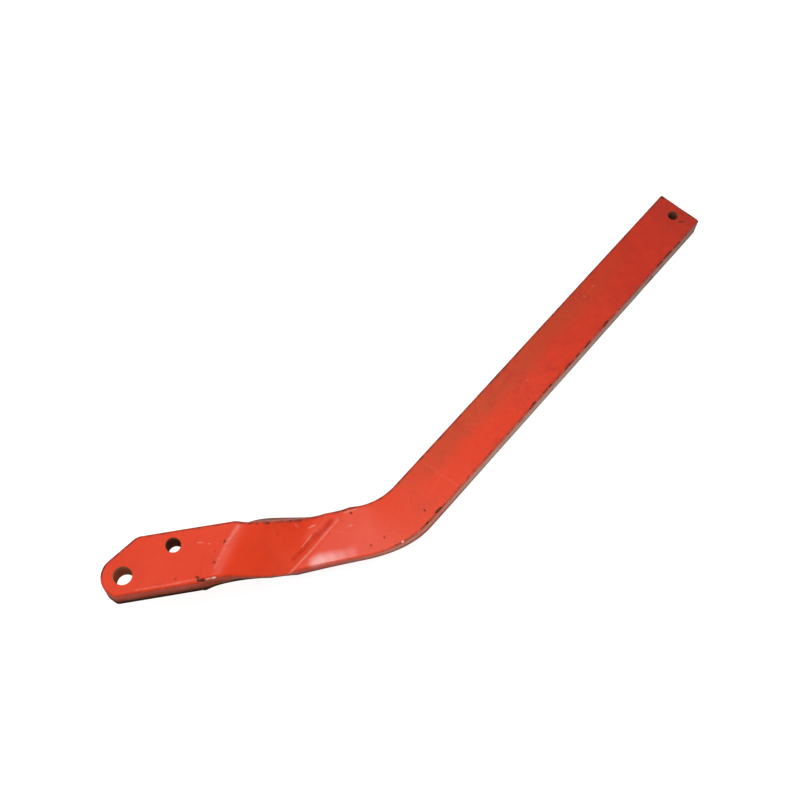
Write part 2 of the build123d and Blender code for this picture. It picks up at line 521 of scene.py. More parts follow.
    def side_columns(self) -> Array:
        """How much of the sides' finish each column round the section has.

        Returns:
            1 low on a side face, 0 on top and bottom, and eased where the paint runs over.
        """
        rise = ease(np.linspace(0, 1, self.corner_steps + 1))
        flat, low = np.zeros(self.top_steps - 1), np.zeros(self.low_steps - 1)
        over, under = self.paint_over, self.low_corner_paint
        side = over + (1 - over) * ease(np.linspace(0, 1, self.side_steps - 1) / self.paint_over_depth)
        return np.concatenate([over * (1 - rise), flat, over * rise, side, 1 - rise * (1 - under), low,
                               under + rise * (1 - under), side[::-1]])

    @staticmethod
    def eased_line(line: Array, span: slice) -> Array:
        """The line with small kinks between its stretches evened out by a running mean.

        Args:
            line: one corner line.
            span: the rows to even out.

        Returns:
            A new line.
        """
        held, reach = line[span], len(SMOOTHING) // 2
        wide = np.concatenate([held[:1].repeat(reach, 0), held, held[-1:].repeat(reach, 0)])
        out = line.copy()
        weights = np.array(SMOOTHING) / sum(SMOOTHING)
        out[span] = sum(weight * wide[k:k + len(held)] for k, weight in enumerate(weights))
        out[span][:reach], out[span][-reach:] = held[:reach], held[-reach:]
        return out

    def capped(self, grid: Array) -> Array:
        """The grid with the cut end closed by rings that shrink to the middle of the section.

        Args:
            grid: rows by columns by 3, open at the cut end.

        Returns:
            The grid with the rings added as further rows.
        """
        middle = grid[-1].mean(axis=0)
        rim = grid[-1] - heading(self.sizes.shank_angle) * self.worn_cut
        face = grid[-1] - unit(grid[-1] - middle) * self.worn_cut
        shares = np.linspace(1, 0, self.cap_rings + 1)[1:, None, None]
        return np.concatenate([grid[:-1], rim[None], face[None], middle + (face - middle) * shares])


# The marks of use, and painted light

class Wear(Enum):
    """What a mark did to the paint, or what light it paints on it: SHADE is painted crease shade, GLOSS adds
    shine and a painted highlight, and some SCUFF, CHIP and SOIL marks are painted highlights, glints, shadow
    and shade. The value names the mesh attribute that carries it.
    """

    CHIP = "chip"
    SCUFF = "scuff"
    SOIL = "soil"
    GLOSS = "gloss"
    SHADE = "shade"
    CLEAN = "clean"


@dataclass(frozen=True)
class Mark:
    """One mark of use or of painted light, named, and placed by where the picture shows it.

    start and end are places in an 800 by 800 picture. width and depth are in millimetres, and
    depth is how far the face is dented there, or raised where it is negative.
    """

    kind: Wear
    name: str
    start: tuple[float, float]
    end: tuple[float, float]
    width: float
    strength: float = 1.0
    depth: float = 0.0


chip, scuff, soil, gloss, shade, clean = (partial(Mark, kind) for kind in Wear)

FOOT_MARKS = (
    chip("bare_chip", (198.6, 580.4), (203.4, 580.4), 2.7, 1.4, 0.6),
    soil("bare_chip_brown_side", (196.8, 577.2), (199.0, 577.4), 2.4, 0.8),
    scuff("bare_chip_bright_edge", (206.0, 579.2), (210.5, 578.2), 1.2, 1.25, 0.2),
    soil("shadow_below_glint", (203.5, 583.4), (221.0, 580.6), 2.0, 0.75),
    # Painted glint: a near-white spot of light.
    scuff("foot_glint", (212.8, 577.6), (215.4, 577.4), 1.35, 2.3),
    scuff("worn_lower_rim", (134.9, 590.4), (180.0, 583.0), 1.5, 0.33),
    scuff("worn_rim_at_ridge", (163.0, 585.6), (194.0, 579.5), 1.4, 0.33),
    soil("long_nick_at_ridge", (225.3, 539.8), (224.2, 543.0), 1.3, 0.95, 0.2),
    soil("nick_above_ridge", (215.0, 551.0), (215.2, 551.8), 1.7, 0.8, 0.15),
    soil("nick_below_ridge", (214.0, 561.6), (214.6, 562.6), 1.5, 1.0, 0.2),
    soil("foot_speck", (174.6, 578.7), (176.0, 579.1), 1.3, 0.85, 0.1),
    scuff("foot_scratch_long", (197.6, 542.9), (203.4, 542.4), 1.1, 0.45),
    scuff("foot_scratch_short", (208.0, 543.1), (210.4, 542.9), 1.1, 0.40),
    # Painted highlight along the ridge's bend.
    scuff("ridge_rub_upper", (238.0, 526.5), (228.0, 541.0), 3.4, 0.30),
    scuff("ridge_rub_lower", (227.0, 543.0), (214.5, 568.0), 3.6, 0.24),
)
JOGGLE_MARKS = (
    # Painted highlight along the pressed crease, with a shallow dent.
    scuff("press_line_upper", (338.6, 519.4), (312.0, 550.0), 2.4, 0.30, 0.25),
    scuff("press_line_lower", (312.0, 550.0), (289.4, 573.4), 1.9, 0.40, 0.25),
    # Painted shade in the concave pressed crease.
    shade("press_shade_upper", (331.0, 521.6), (314.0, 538.0), 4.6, 0.8),
    shade("press_shade_lower", (314.0, 538.0), (293.0, 559.0), 3.2, 0.62),
    # A dark line in the crease: painted shade with a shallow dent.
    soil("press_nick", (316.0, 533.0), (305.0, 545.6), 1.5, 0.42, 0.1),
    scuff("press_scratch", (311.3, 534.6), (302.3, 546.6), 1.1, 0.42, 0.1),
    chip("panel_rim_nick", (266.8, 523.0), (268.2, 523.4), 1.8, 1.2, 0.2),
    soil("panel_faint_nick", (277.8, 532.6), (278.2, 535.2), 1.6, 0.6),
    soil("panel_speck", (290.8, 544.2), (291.2, 545.0), 1.3, 0.7),
    scuff("panel_rub_left", (295.6, 524.2), (298.2, 526.8), 1.3, 0.4),
    scuff("panel_rub_right", (308.6, 527.4), (315.0, 525.0), 1.3, 0.5),
    scuff("far_rim_rub", (343.0, 513.0), (357.0, 508.6), 1.2, 0.4),
    soil("far_rim_speck", (350.8, 512.8), (351.6, 513.6), 1.5, 1.0),
    scuff("knee_rub", (348.8, 525.8), (352.6, 525.2), 1.5, 0.38),
    scuff("knee_scratch", (331.0, 531.0), (349.0, 533.8), 1.1, 0.22),
    # Glare: more shine, a slightly raised face and a painted pale highlight colour.
    gloss("glare_core", (316.5, 563.5), (321.0, 561.0), 10.0, 1.0, -0.35),
    gloss("glare_middle", (321.0, 561.0), (331.0, 558.4), 9.6, 0.66),
    gloss("glare_tail", (331.0, 558.4), (340.0, 556.4), 9.6, 0.40),
    gloss("glare_end", (340.0, 556.4), (351.0, 554.0), 9.6, 0.18),
    clean("clean_side_at_press_line", (283.0, 574.6), (334.0, 566.0), 24.0),
    # Painted shadow: a near-black line along the panel's lower edge, drawn as bare steel.
    chip("panel_underline_left", (224.0, 584.6), (238.0, 579.6), 7.5, 1.5),
    chip("panel_underline_middle", (238.0, 579.6), (256.0, 578.4), 7.5, 1.5),
    chip("panel_underline_right", (256.0, 578.4), (288.0, 575.6), 6.0, 1.3),
    soil("knee_spot", (370.8, 545.0), (371.6, 545.8), 1.2, 0.9, 0.1),
    soil("knee_faint_spot", (384.4, 536.8), (384.8, 538.6), 1.6, 0.7),
)
BEND_MARKS = (
    # Painted glint: a near-white spot of light.
    scuff("bend_glint", (402.2, 542.0), (403.0, 541.6), 1.2, 2.2),
    chip("bend_rim_speck", (415.0, 535.0), (416.0, 534.4), 1.2, 1.0),
    chip("bend_rim_nick", (425.6, 524.4), (429.0, 521.6), 1.6, 1.15, 0.3),
    chip("bend_rim_chip", (436.4, 512.4), (441.0, 507.6), 2.1, 1.4, 0.4),
    soil("bend_spot", (424.6, 509.2), (425.4, 510.0), 1.6, 1.2, 0.1),
    scuff("cross_line", (427.6, 464.3), (457.2, 486.2), 1.9, 0.17),
    scuff("arc_scratch", (465.8, 424.4), (483.0, 424.2), 1.7, 0.17),
)
SHANK_MARKS = (
    chip("rim_rub_a", (507.9, 434.2), (509.7, 432.2), 1.3, 0.8),
    chip("rim_rub_b", (518.9, 422.4), (521.3, 419.8), 1.6, 0.9),
    chip("rim_chip_a", (530.1, 409.2), (532.1, 407.0), 1.6, 1.1, 0.2),
    chip("rim_chip_b", (532.9, 405.4), (535.3, 402.6), 2.1, 1.5, 0.4),
    chip("rim_chip_c", (543.9, 392.8), (547.7, 388.4), 1.6, 1.1, 0.2),
    chip("rim_chip_d", (549.1, 386.8), (551.9, 383.8), 1.9, 1.25, 0.3),
    chip("rim_chip_e", (565.3, 369.8), (569.3, 364.8), 2.2, 1.35, 0.4),
    chip("rim_chip_f", (569.3, 364.8), (573.7, 361.6), 2.0, 1.35, 0.4),
    chip("rim_chip_g", (576.5, 357.2), (579.3, 354.2), 1.8, 1.2, 0.2),
    chip("rim_chip_h", (585.3, 347.8), (590.7, 341.6), 2.5, 1.5, 0.5),
    chip("rim_chip_i", (603.7, 327.0), (608.3, 321.2), 2.2, 1.4, 0.4),
    chip("rim_chip_j", (627.7, 301.0), (629.3, 299.2), 1.3, 0.9),
    soil("side_bare_patch", (644.4, 287.4), (651.6, 278.8), 6.0, 1.0, 0.3),
    chip("rim_chip_k", (658.0, 266.4), (662.0, 262.2), 2.5, 1.6, 0.5),
    chip("rim_chip_l", (665.2, 257.8), (671.0, 251.4), 2.3, 1.35, 0.3),
    chip("rim_chip_m", (674.0, 248.8), (679.6, 242.2), 2.0, 1.15, 0.2),
    chip("end_rim_chip", (686.4, 213.2), (690.4, 215.6), 1.4, 1.15),
    chip("far_corner_chip", (660.6, 195.8), (663.0, 198.0), 3.0, 1.3),
    chip("near_corner_chip", (698.4, 221.4), (699.2, 222.0), 1.9, 1.3),
    soil("end_smudge", (679.6, 222.2), (683.6, 221.4), 2.2, 0.85),
    scuff("light_speck_a", (527.2, 380.2), (527.8, 380.6), 1.7, 0.34),
    soil("dark_speck_a", (528.0, 398.6), (528.6, 399.2), 1.3, 0.7),
    scuff("light_speck_b", (583.4, 296.2), (584.6, 296.6), 1.8, 0.3),
    scuff("light_speck_c", (592.4, 286.4), (593.4, 285.8), 1.5, 0.3),
)


# The studio

@dataclass(frozen=True)
class Softbox:
    """One soft light: where it hangs, where it points, its size in metres and its power in watts."""

    name: str
    place: tuple[float, float, float]
    target: tuple[float, float, float]
    width: float
    depth: float
    power: float

    def hang(self) -> None:
        """Adds the light to the scene."""
        light = bpy.data.lights.new(self.name, "AREA")
        light.shape = "RECTANGLE"
        light.size, light.size_y, light.energy = self.width, self.depth, self.power
        obj = bpy.data.objects.new(self.name, light)
        obj.location = self.place
        aim = Vector(self.place) - Vector(self.target)
        obj.rotation_euler = aim.to_track_quat("Z", "Y").to_euler()
        bpy.context.scene.collection.objects.link(obj)


@dataclass
class Studio:
    """Camera, floor and soft lights of the photograph."""

    eye: tuple[float, float, float] = (-0.20658, -0.56204, 1.44106)
    right: tuple[float, float, float] = (0.982885, -0.181713, 0.030294)
    up: tuple[float, float, float] = (0.151451, 0.890664, 0.428697)
    back: tuple[float, float, float] = (-0.104881, -0.416772, 0.90294)
    lens: float = 58.5
    sensor: float = 36.0
    surround: float = 0.64
    floor_reach: float = 6.0
    floor_gap: float = 0.0003
    floor_shade: float = 0.5
    floor_roughness: float = 0.9
    floor_glow: float = 0.8
    boxes: tuple[Softbox, ...] = (
        Softbox("studio_overhead", (-0.15, 0.55, 2.0), (-0.15, 0.0, 0.0), 1.6, 1.2, 8.5),
        Softbox("studio_key", (0.1, 0.11, 1.95), (-0.05, -0.05, 0.0), 0.26, 0.26, 4.6),
    )

    def seen_at(self, points: Array) -> Array:
        """Where points stand in an 800 by 800 picture.

        Args:
            points: N by 3, in metres.

        Returns:
            N by 2 places in pixels, from the picture's upper left corner.
        """
        offset = points - np.array(self.eye)
        away = -(offset @ np.array(self.back))
        focal = self.lens / self.sensor * PICTURE_WIDTH
        right, up = offset @ np.array(self.right), offset @ np.array(self.up)
        return np.stack([right, -up], -1) / away[:, None] * focal + PICTURE_WIDTH / 2

    def camera(self) -> None:
        """Creates the camera and makes it the scene's camera."""
        data = bpy.data.cameras.new("studio_camera")
        data.sensor_width = self.sensor
        data.sensor_fit = "HORIZONTAL"
        data.lens = self.lens
        obj = bpy.data.objects.new("studio_camera", data)
        bpy.context.scene.collection.objects.link(obj)
        turn = Matrix((self.right, self.up, self.back)).transposed().to_4x4()
        turn.translation = self.eye
        obj.matrix_world = turn
        bpy.context.scene.camera = obj

    def floor(self) -> None:
        """Lays a pale plain floor that looks white to the camera, so that shadows on it stay faint."""
        mesh = bpy.data.meshes.new("studio_floor")
        reach, low = self.floor_reach, -self.floor_gap
        corners = [(-reach, -reach, low), (reach, -reach, low), (reach, reach, low), (-reach, reach, low)]
        mesh.from_pydata(corners, [], [(0, 1, 2, 3)])
        obj = bpy.data.objects.new("studio_floor", mesh)
        mat = bpy.data.materials.new("studio_floor")
        mat.use_nodes = True
        net = Net(mat.node_tree)
        seen = net.add("ShaderNodeLightPath").outputs["Is Camera Ray"]
        net.feed(mat.node_tree.nodes["Principled BSDF"], {
            "Base Color": (self.floor_shade,) * 3, "Roughness": self.floor_roughness,
            "Specular IOR Level": 0.0, "Emission Color": (1.0, 1.0, 1.0),
            "Emission Strength": net.times(seen, self.floor_glow)})
        mesh.materials.append(mat)
        bpy.context.scene.collection.objects.link(obj)
        obj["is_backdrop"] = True

    def lights(self) -> None:
        """Lights the surround and hangs the soft lights."""
        world = bpy.data.worlds.new("studio_world")
        world.use_nodes = True
        net = Net(world.node_tree)
        seen = net.add("ShaderNodeLightPath").outputs["Is Camera Ray"]
        strength = net.scaled(seen, 1.0 - self.surround, self.surround)
        net.feed(world.node_tree.nodes["Background"], {"Color": (1.0, 1.0, 1.0), "Strength": strength})
        bpy.context.scene.world = world
        for box in self.boxes:
            box.hang()
        bpy.context.scene.view_settings.view_transform = "Standard"


# The paint

class Grain(Enum):
    """Noises of the finish: cycles per metre, detail, roughness, and where spots begin and are full."""

    PATCHES = (38.0, 3.0, 0.6, 0.38, 0.72)
    RAGGED = (640.0, 4.0, 0.65)
    CLOUD = (9.0, 3.0, 0.55)
    MOTTLE = (75.0, 4.0, 0.6)
    GRIT = (210.0, 5.0, 0.7, 0.44, 0.66)
    BLOTCH = (34.0, 4.0, 0.65, 0.48, 0.68)
    SMEAR = (360.0, 4.0, 0.65)
    STREAKS = (60.0, 4.0, 0.6, 0.3, 0.75)
    FINE = (520.0, 3.0, 0.6)
    DUST = (48.0, 3.0, 0.6, 0.45, 0.75)
    UNEVEN = (120.0, 3.0, 0.6, 0.3, 0.68)
    BROKEN = (130.0, 3.0, 0.6, 0.3, 0.7)
    SHEEN = (26.0, 4.0, 0.6)
    PEEL = (300.0, 3.0, 0.55)


class Stretch(Enum):
    """Where a finish changes: from and to as shares of the bar's length, but ACROSS from side to side."""

    PAST_NOSE_BORE = (0.045, 0.07)
    NOSE_TO_RIDGE = (0.08, 0.19)
    PANEL = (0.22, 0.27)
    PANEL_TO_KNEE = (0.25, 0.38)
    PAST_FOOT = (0.26, 0.32)
    KNEE = (0.3, 0.4)
    KNEE_TO_MIDDLE = (0.35, 0.7)
    BEND = (0.36, 0.5)
    PAST_BEND = (0.38, 0.5)
    LOWER_SHANK = (0.42, 0.55)
    SHANK = (0.45, 1.0)
    SHANK_PAINT = (0.45, 0.95)
    UPPER_SHANK = (0.55, 1.0)
    UPPER_PAINT = (0.72, 0.98)
    CUT_END = (0.93, 1.0)
    ACROSS = (-0.3, 0.3)


@dataclass
class Net:
    """Adds nodes to one tree and joins them."""

    tree: Tree

    def feed(self, node: Node, feeds: dict[str | int, Feed]) -> Node:
        """Joins a socket to each input named or numbered, or sets its number or colour."""
        for name, value in feeds.items():
            if isinstance(value, Socket):
                self.tree.links.new(value, node.inputs[name])
            else:
                node.inputs[name].default_value = opaque(value)
        return node

    def add(self, kind: str, feeds: dict[str | int, Feed] | None = None, **settings: object) -> Node:
        """Adds one node.

        Args:
            kind: the node's type.
            feeds: a socket or a constant for each input.
            settings: the node's own properties.

        Returns:
            The node.
        """
        node = self.tree.nodes.new(kind)
        for name, value in settings.items():
            setattr(node, name, value)
        return self.feed(node, feeds or {})

    def maths(self, operation: str, *values: Socket | float) -> Socket:
        """The result of one Math node."""
        return self.add("ShaderNodeMath", dict(enumerate(values)), operation=operation).outputs[0]

    def times(self, value: Socket, factor: Socket | float) -> Socket:
        """value * factor."""
        return self.maths("MULTIPLY", value, factor)

    def scaled(self, value: Socket, factor: Socket | float, more: Socket | float) -> Socket:
        """value * factor + more."""
        return self.maths("MULTIPLY_ADD", value, factor, more)

    def less(self, value: Socket | float, other: Socket | float) -> Socket:
        """value - other."""
        return self.maths("SUBTRACT", value, other)

    def most(self, value: Socket, other: Socket | float) -> Socket:
        """The larger of two values."""
        return self.maths("MAXIMUM", value, other)

    def blend(self, share: Socket | float, low: Feed, high: Feed) -> Socket:
        """A colour that goes from low to high with share."""
        feeds = {"Factor": share, 6: low, 7: high}
        return self.add("ShaderNodeMix", feeds, data_type="RGBA").outputs[2]

    def step(self, value: Socket, low: float, high: float) -> Socket:
        """0 below low, 1 above high and eased between."""
        feeds = {"Value": value, "From Min": low, "From Max": high}
        return self.add("ShaderNodeMapRange", feeds, interpolation_type="SMOOTHSTEP").outputs[0]

    def past(self, place: Socket, stretch: Stretch) -> Socket:
        """0 before a stretch of the bar, 1 behind it and eased on it."""
        return self.step(place, *stretch.value)

    def noise(self, place: Socket, grain: Grain) -> Socket:
        """Noise from 0 to 1 at a place in metres."""
        feeds = {"Vector": place, **dict(zip(("Scale", "Detail", "Roughness"), grain.value))}
        return self.add("ShaderNodeTexNoise", feeds).outputs["Fac"]

    def spots(self, place: Socket, grain: Grain) -> Socket:
        """The noise's own spots: 0 between them, 1 in them and eased at their rims."""
        return self.step(self.noise(place, grain), *grain.value[3:])


def opaque(value: float | Rgb) -> float | tuple[float, ...]:
    """A colour with full alpha added, or a number as it is."""
    return (*value, 1.0) if isinstance(value, tuple) else value


@dataclass
class Effect:
    """A node group: its name, its inputs with their defaults, and its outputs."""

    name: str
    takes: dict[str, float | Rgb | None]
    gives: dict[str, str]

    def open(self) -> tuple[Net, Outlets, Node]:
        """Makes the empty group.

        Returns:
            A net on its tree, its inputs by name and the output node.
        """
        self.tree = bpy.data.node_groups.new(self.name, "ShaderNodeTree")
        add = self.tree.interface.new_socket
        for name, value in self.takes.items():
            kind = {type(None): "Vector", float: "Float"}.get(type(value), "Color")
            socket = add(name, in_out="INPUT", socket_type="NodeSocket" + kind)
            if value is not None:
                socket.default_value = opaque(value)
        for name, kind in self.gives.items():
            add(name, in_out="OUTPUT", socket_type="NodeSocket" + kind)
        net = Net(self.tree)
        entry = net.add("NodeGroupInput")
        return net, {name: entry.outputs[name] for name in self.takes}, net.add("NodeGroupOutput")

    def use(self, net: Net, feeds: dict[str | int, Feed]) -> Outlets:
        """Places the group in another tree and gives its outputs by name."""
        node = net.feed(net.add("ShaderNodeGroup", node_tree=self.tree), feeds)
        return {name: node.outputs[name] for name in self.gives}


def paint_tint() -> Effect:
    """Makes the group for the enamel's colour: faded, deep and olive clouds along the bar.

    Returns:
        The group, whose output is the colour.
    """
    colours = dict.fromkeys(("Fresh", "Faded", "Deep", "Olive"), (0.5, 0.5, 0.5))
    effect = Effect("paint_tint", {"Position": None, "Along": 0.0, "Across": 0.0, **colours},
                    {"Colour": "Color"})
    net, given, out = effect.open()
    place, along = given["Position"], given["Along"]
    cloud, mottle = net.noise(place, Grain.CLOUD), net.noise(place, Grain.MOTTLE)
    fade = net.times(net.step(cloud, 0.35, 0.75), 0.4)
    at_knee = net.less(net.past(along, Stretch.PANEL), net.past(along, Stretch.BEND))
    colour = net.blend(net.scaled(at_knee, 0.4, fade), given["Fresh"], given["Faded"])
    deep = net.times(net.past(along, Stretch.SHANK_PAINT), net.scaled(mottle, 0.8, 0.4))
    colour = net.blend(deep, colour, given["Deep"])
    before_end = net.less(1.0, net.past(along, Stretch.UPPER_PAINT))
    on_shank = net.times(net.past(along, Stretch.PAST_BEND), before_end)
    far_half = net.step(net.scaled(cloud, 0.8, given["Across"]), 0.1, 0.9)
    olive = net.times(net.times(on_shank, far_half), 0.5)
    olive = net.times(olive, net.scaled(mottle, 0.9, 0.45))
    colour = net.blend(olive, colour, given["Olive"])
    grit = net.spots(place, Grain.GRIT)
    blotch = net.spots(place, Grain.BLOTCH)
    worn = net.scaled(net.past(along, Stretch.KNEE_TO_MIDDLE), 0.28, 0.16)
    shade = net.times(net.scaled(grit, 0.6, blotch), worn)
    net.feed(out, {"Colour": net.blend(shade, colour, given["Deep"])})
    return effect


@dataclass(frozen=True)
class WornEnamel:
    """Finish of the bar: glossy orange-red enamel, worn through to dark steel on its rims, with painted
    shade, shadow, highlights and reflection in some of its colours.
    """

    fresh: Rgb = (0.83, 0.046, 0.007)
    faded: Rgb = (0.86, 0.082, 0.030)
    # Painted shade colour of the pressed crease.
    pressed: Rgb = (0.52, 0.022, 0.010)
    deep: Rgb = (0.50, 0.026, 0.012)
    olive: Rgb = (0.41, 0.066, 0.016)
    lip: Rgb = (0.30, 0.10, 0.06)
    # Bare steel, also used for the painted shadow line under the panel.
    steel: Rgb = (0.045, 0.028, 0.022)
    rust: Rgb = (0.13, 0.035, 0.014)
    # Pale scrapes, also the painted highlight on the ridge and along the pressed crease.
    scraped: Rgb = (0.95, 0.42, 0.34)
    # Painted glint colour, for scuff marks stronger than 1.25.
    bright: Rgb = (0.95, 0.93, 0.90)
    # Dirt, also used for painted shade along the corners and at the cut end.
    dirt: Rgb = (0.12, 0.026, 0.014)
    foot_side: Rgb = (0.38, 0.084, 0.050)
    ridge_side: Rgb = (0.25, 0.088, 0.052)
    foot_dust: Rgb = (0.33, 0.17, 0.12)
    # The shank's side colours are dust and painted reflection at a grazing angle.
    shank_side: Rgb = (0.88, 0.46, 0.34)
    end_side: Rgb = (0.52, 0.28, 0.23)
    bend_low: Rgb = (0.78, 0.27, 0.20)
    shank_low: Rgb = (0.76, 0.66, 0.54)
    end_low: Rgb = (0.56, 0.50, 0.42)
    far_side: Rgb = (0.24, 0.14, 0.11)
    # Painted shadow colour, low on the side faces.
    ground_line: Rgb = (0.055, 0.026, 0.016)
    # Painted highlight colour of the glare.
    hazed: Rgb = (0.58, 0.17, 0.14)
    shank_steel: Rgb = (0.085, 0.024, 0.016)
    nose_bore: Rgb = (0.48, 0.19, 0.10)
    bore: Rgb = (0.32, 0.13, 0.075)
    bore_soot: Rgb = (0.12, 0.05, 0.032)
    end_shade: float = 0.24
    # How much of the painted highlight colour the glare marks take.
    haze: float = 0.28
    chip_grain: float = 2.7
    # Strength of the sides' dust and painted reflection.
    side_film: float = 0.95
    gloss_roughness: float = 0.3
    dull_roughness: float = 0.55
    roughness_spread: float = 0.14
    specular: float = 0.17
    polish: float = 1.45
    peel_height: float = 0.12
    bump_strength: float = 0.6
    bump_distance: float = 0.00025

    def chips(self, net: Net, at: SimpleNamespace) -> tuple[Socket, Socket]:
        """Chipped paint: ragged chips on worn rims and where a mark asks for one, and the painted shadow
        line under the panel, drawn as bare steel.

        Args:
            net: adds the nodes.
            at: the place and the mesh's attributes by name.

        Returns:
            The shares of bare steel, which also holds painted shadow, and of the paint's broken lip.
        """
        ragged = net.less(net.noise(at.place, Grain.RAGGED), 0.5)
        near_wear = net.step(net.most(at.rim, at.chip), 0.02, 0.3)
        rim = net.times(at.rim, net.scaled(net.spots(at.place, Grain.PATCHES), 0.5, 0.12))
        wear = net.most(rim, net.times(at.chip, 0.56))
        wear = net.scaled(net.times(ragged, near_wear), self.chip_grain, wear)
        bare = net.step(wear, 0.44, 0.50)
        return bare, net.most(net.less(net.step(wear, 0.35, 0.44), bare), 0.0)

    def grime(self, net: Net, at: SimpleNamespace) -> tuple[Socket, Socket, Socket]:
        """Dirt and painted light: smudges at marks, some of them painted shade, a film of dust and painted
        reflection on the sides, and a near-black line low on them, which is painted shadow.

        Args:
            net: adds the nodes.
            at: the place and the mesh's attributes by name.

        Returns:
            The shares of smudge and painted shade, of side dust and painted reflection, and of painted low
            shadow.
        """
        ragged = net.less(net.noise(at.place, Grain.SMEAR), 0.5)
        # Smudges: dirt, and painted shade where a mark asks for it.
        smudge = net.step(net.scaled(ragged, 1.2, at.soil), 0.2, 0.95)
        streaks = net.spots(at.place, Grain.STREAKS)
        # Side film: dust and painted reflection.
        film = net.times(net.times(at.side, net.scaled(streaks, 0.35, 0.75)), self.side_film)
        # Darker towards the bottom of the sides: a painted shadow line.
        line = net.step(net.scaled(ragged, 0.35, at.down), 0.5, 0.74)
        return smudge, film, net.times(line, net.step(at.side, 0.0, 0.4))

    def side_colour(self, net: Net, at: SimpleNamespace, dusty: Socket) -> Socket:
        """Colour of the side faces: brown on the foot, pale on the shank, grey on the far side. The pale
        shank side is dust and painted reflection at a grazing angle.

        Args:
            net: adds the nodes.
            at: the mesh's attributes by name.
            dusty: the share of dust.

        Returns:
            The colour.
        """
        foot = net.blend(net.past(at.along, Stretch.NOSE_TO_RIDGE), self.foot_side, self.ridge_side)
        foot = net.blend(dusty, foot, self.foot_dust)
        high = net.blend(net.past(at.along, Stretch.SHANK), self.shank_side, self.end_side)
        low = net.blend(net.past(at.along, Stretch.LOWER_SHANK), self.bend_low, self.shank_low)
        low = net.blend(net.past(at.along, Stretch.UPPER_SHANK), low, self.end_low)
        shank = net.blend(net.step(at.down, 0.3, 0.7), high, low)
        near = net.blend(net.past(at.along, Stretch.PANEL_TO_KNEE), foot, shank)
        return net.blend(net.past(at.across, Stretch.ACROSS), near, self.far_side)

    def coats(self, net: Net, at: SimpleNamespace) -> Socket:
        """Colour of the bar: its enamel, and coat by coat what lies on it, what is worn through it and the
        painted light on it: painted shadow low on the sides, painted shade along the corners, in the crease
        and at the cut end, and painted highlights and glints.

        Args:
            net: adds the nodes.
            at: the place, the mesh's attributes and the shares of wear, dirt and painted light by name.

        Returns:
            The colour.
        """
        colour = paint_tint().use(net, {
            "Position": at.place, "Along": at.along, "Across": at.across, "Fresh": self.fresh,
            "Faded": self.faded, "Deep": self.deep, "Olive": self.olive})["Colour"]
        fine = net.noise(at.place, Grain.FINE)
        dusty, uneven = net.spots(at.place, Grain.DUST), net.spots(at.place, Grain.UNEVEN)
        broken = net.spots(at.place, Grain.BROKEN)
        # Dark line along the corners: dirt and painted shade of the rolled corners seen edge-on.
        outline = net.times(net.times(net.step(at.line, 0.28, 0.72), broken), 0.85)
        before_knee = net.scaled(net.past(at.along, Stretch.PAST_FOOT), -0.62, 1.0)
        on_far = net.times(net.past(at.across, Stretch.ACROSS), 0.55)
        # Painted shadow low on the side faces.
        ground = net.times(at.low_line, net.most(on_far, before_knee))
        steel = net.blend(net.past(at.along, Stretch.KNEE), self.steel, self.shank_steel)
        bore = net.blend(dusty, self.bore, self.bore_soot)
        bore = net.blend(net.past(at.along, Stretch.PAST_NOSE_BORE), self.nose_bore, bore)
        coats = (
            (net.times(at.film, at.unwiped), self.side_colour(net, at, dusty)),
            (ground, self.ground_line),
            (net.times(net.past(at.along, Stretch.CUT_END), self.end_shade), self.dirt),
            # Painted highlight at the glare.
            (net.times(at.gloss, self.haze), self.hazed),
            # Painted shade in the pressed crease.
            (net.times(at.shade, net.scaled(uneven, 0.6, 0.4)), self.pressed),
            (outline, self.dirt),
            # Scrapes, and painted highlights on the ridge and the crease.
            (net.step(net.scaled(fine, 0.5, at.scuff), 0.3, 1.15), self.scraped),
            (at.smudge, self.dirt),
            (at.lip, self.lip),
            # Bare steel, and painted shadow under the panel.
            (at.bare, net.blend(net.step(fine, 0.42, 0.66), steel, self.rust)),
            # Painted glints.
            (net.step(at.scuff, 1.25, 1.7), self.bright),
            (at.bore, bore),
        )
        for share, coat in coats:
            colour = net.blend(share, colour, coat)
        return colour

    def material(self) -> bpy.types.Material:
        """Makes the material.

        Returns:
            The material, which reads the bar's own attributes and its Object coordinates.
        """
        mat = bpy.data.materials.new("worn_enamel")
        mat.use_nodes = True
        net = Net(mat.node_tree)
        at = SimpleNamespace(place=net.add("ShaderNodeTexCoord").outputs["Object"])
        for name in (*(kind.value for kind in Wear), *PLACE_FIELDS):
            setattr(at, name, net.add("ShaderNodeAttribute", attribute_name=name).outputs["Fac"])
        at.unwiped = net.less(1.0, at.clean)
        at.bare, at.lip = self.chips(net, at)
        at.smudge, at.film, at.low_line = self.grime(net, at)
        dull = net.most(net.most(at.bare, at.bore), net.times(at.smudge, 0.7))
        rough = net.scaled(dull, self.dull_roughness - self.gloss_roughness, self.gloss_roughness)
        rough = net.scaled(net.noise(at.place, Grain.SHEEN), self.roughness_spread,
                         net.less(rough, self.roughness_spread / 2))
        # No specular on the side faces, whose colour holds a painted reflection, nor on bare steel, bores
        # and smudges.
        covered = net.most(net.times(at.side, at.unwiped), dull)
        shine = net.scaled(at.gloss, self.polish, self.specular)
        shine = net.times(shine, net.scaled(at.shade, -0.85, 1.0))
        height = net.less(net.times(net.noise(at.place, Grain.PEEL), self.peel_height), at.bare)
        bump = net.add("ShaderNodeBump", {"Height": height, "Strength": self.bump_strength,
                                        "Distance": self.bump_distance})
        net.feed(mat.node_tree.nodes["Principled BSDF"], {
            "Base Color": self.coats(net, at), "Roughness": net.scaled(at.gloss, 0.05, rough),
            "Specular IOR Level": net.times(shine, net.less(1.0, covered)),
            "Normal": bump.outputs["Normal"]})
        return mat


# The dressed bar

